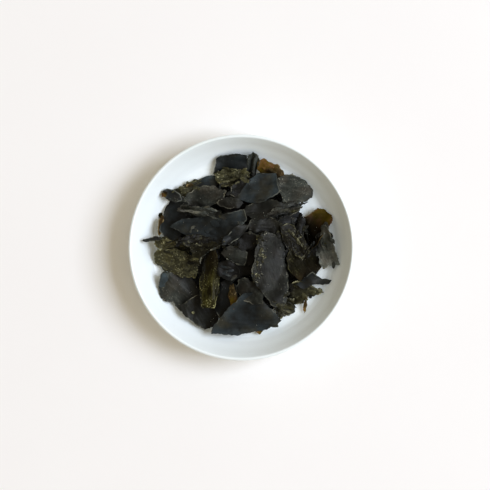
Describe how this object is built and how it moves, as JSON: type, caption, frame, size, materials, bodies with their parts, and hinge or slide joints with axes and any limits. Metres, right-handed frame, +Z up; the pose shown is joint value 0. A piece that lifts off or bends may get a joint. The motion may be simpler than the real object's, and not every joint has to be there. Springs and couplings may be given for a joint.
{
  "type": "dried wakame in a side dish",
  "caption": "Loose heap of thin, brittle, curled flakes of dried wakame seaweed in a small round white porcelain dish with a foot ring.",
  "frame": {"origin": "under the middle of the dish, on the surface its foot ring stands on", "axes": "+Z up; +X to the right and +Y away in the view from above, in which the longest single flake lies at the right of the middle and the fan-shaped one at the bottom edge"},
  "size_m": [0.095, 0.095, 0.0219],
  "materials": {
    "porcelain": "plain white glaze, glossy",
    "dried_wakame": "dry leaf, dull sheen, almost black"
  },
  "bodies": {
    "root": {"dish": "porcelain", "wakame_heap": "dried_wakame"}
  },
  "joints": []
}
